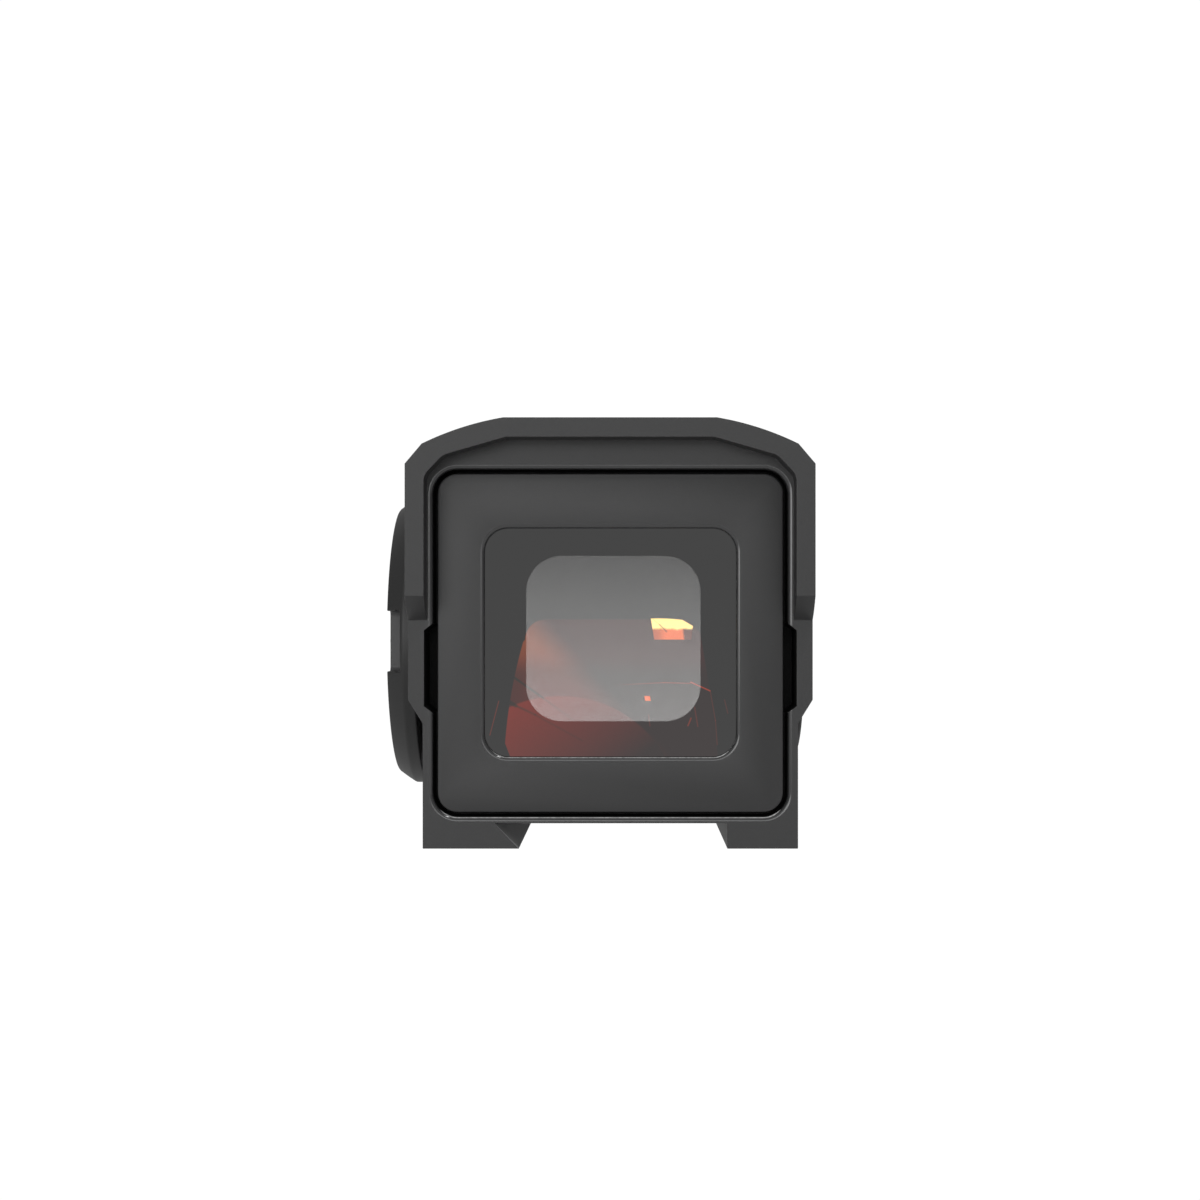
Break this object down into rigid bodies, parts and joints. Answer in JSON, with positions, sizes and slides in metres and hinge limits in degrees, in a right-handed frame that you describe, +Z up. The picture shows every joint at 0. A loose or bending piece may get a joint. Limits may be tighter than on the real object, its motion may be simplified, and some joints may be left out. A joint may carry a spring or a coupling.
{
  "type": "red dot finder",
  "caption": "Closed box-type red dot finder with hooded windows, a side brightness dial over the battery, two zeroing adjusters and a screw clamp for an accessory rail.",
  "frame": {"origin": "middle of the rail seat, the flat roof of the clamp channel", "axes": "+Z up, +Y towards the target along the line of sight, +X to the right seen from the eye end"},
  "size_m": [0.0451, 0.052, 0.0435],
  "materials": {
    "housing_anodised": "bead-blasted black anodised, satin",
    "bezel_anodised": "fine matte black anodised",
    "dial_anodised": "satin black anodised, turned",
    "clear_glass": "polished, anti-reflection coated",
    "coated_glass": "polished, amber-red reflective coating",
    "seal_rubber": "matte black",
    "black_plastic": "moulded, matte",
    "black_steel": "black oxide",
    "jaw_metal": "black nitride",
    "spring_steel": "bright wire",
    "bright_steel": "bright nickel",
    "carriage_metal": "dark matte",
    "brass": "gold flashed",
    "bronze": "spring bronze",
    "led_red": "clear red lens",
    "board_green": "solder mask",
    "flex_amber": "polyimide film",
    "lead_red": "insulated wire"
  },
  "bodies": {
    "body": {"housing": "housing_anodised", "rear_bezel": "bezel_anodised", "rear_window": "clear_glass", "rear_seal": "seal_rubber", "front_bezel": "bezel_anodised", "objective_lens": "coated_glass", "front_seal": "seal_rubber", "dial_oring": "seal_rubber", "dial_retaining_ring": "spring_steel", "switch_ring": "board_green", "detent_ball": "bright_steel", "detent_spring": "spring_steel", "battery": "bright_steel", "battery_sleeve": "black_plastic", "negative_contact": "brass", "elevation_oring": "seal_rubber", "elevation_return_spring": "spring_steel", "windage_oring": "seal_rubber", "windage_return_spring": "spring_steel", "circuit_board": "board_green", "controller_chip": "black_plastic", "board_screw_lower": "bright_steel", "board_screw_upper": "bright_steel", "led_flex_cable": "flex_amber", "battery_lead": "lead_red", "jaw_spring": "spring_steel", "recoil_lug": "black_steel", "lug_screw": "bright_steel"},
    "dial": {"brightness_dial": "dial_anodised", "dial_wiper": "bronze"},
    "cap_carrier": {"battery_cap_oring": "seal_rubber", "cap_contact_spring": "spring_steel"},
    "cap": {"battery_cap": "dial_anodised"},
    "elevation_adjuster": {"elevation_screw": "black_steel"},
    "windage_adjuster": {"windage_screw": "black_steel"},
    "shoe": {"elevation_shoe": "brass"},
    "carriage": {"emitter_carriage": "carriage_metal", "emitter_holder": "black_plastic", "led_emitter": "led_red"},
    "jaw": {"clamp_jaw": "jaw_metal"},
    "bolt": {"clamp_bolt": "black_steel"}
  },
  "joints": [
    {"name": "dial_turn", "type": "hinge", "parent": "body", "child": "dial", "pos_m": [-0.0225, 0.003, 0.0184], "axis": [-1, 0, 0], "range_deg": [0, 330]},
    {"name": "cap_lift", "type": "slide", "parent": "body", "child": "cap_carrier", "axis": [-1, 0, 0], "range_m": [0, 0.00225]},
    {"name": "cap_turn", "type": "hinge", "parent": "cap_carrier", "child": "cap", "pos_m": [-0.0235, 0.003, 0.0184], "axis": [-1, 0, 0], "range_deg": [0, 1081]},
    {"name": "elevation_turn", "type": "hinge", "parent": "body", "child": "elevation_adjuster", "pos_m": [0, 0.003, 0.04], "axis": [0, 0, 1], "range_deg": [-361, 361]},
    {"name": "windage_turn", "type": "hinge", "parent": "body", "child": "windage_adjuster", "pos_m": [0.0202, 0.003, 0.0184], "axis": [1, 0, 0], "range_deg": [-361, 361]},
    {"name": "elevation_shift", "type": "slide", "parent": "body", "child": "shoe", "axis": [0, 0, 1], "range_m": [-0.0004, 0.0004], "deforming": ["elevation_return_spring"]},
    {"name": "windage_shift", "type": "slide", "parent": "shoe", "child": "carriage", "axis": [1, 0, 0], "range_m": [-0.0004, 0.0004], "deforming": ["windage_return_spring"]},
    {"name": "jaw_close", "type": "slide", "parent": "body", "child": "jaw", "axis": [-1, 0, 0], "range_m": [0, 0.0024], "deforming": ["jaw_spring"]},
    {"name": "bolt_turn", "type": "hinge", "parent": "jaw", "child": "bolt", "pos_m": [0.0175, 0.008, -0.0002], "axis": [-1, 0, 0], "range_deg": [0, 1921]}
  ],
  "couplings": [
    {"joint": "cap_turn", "follows": "cap_lift", "rad_per_m": 8377.6},
    {"joint": "elevation_turn", "follows": "elevation_shift", "rad_per_m": 15708},
    {"joint": "windage_turn", "follows": "windage_shift", "rad_per_m": 15708},
    {"joint": "bolt_turn", "follows": "jaw_close", "rad_per_m": 13963}
  ]
}
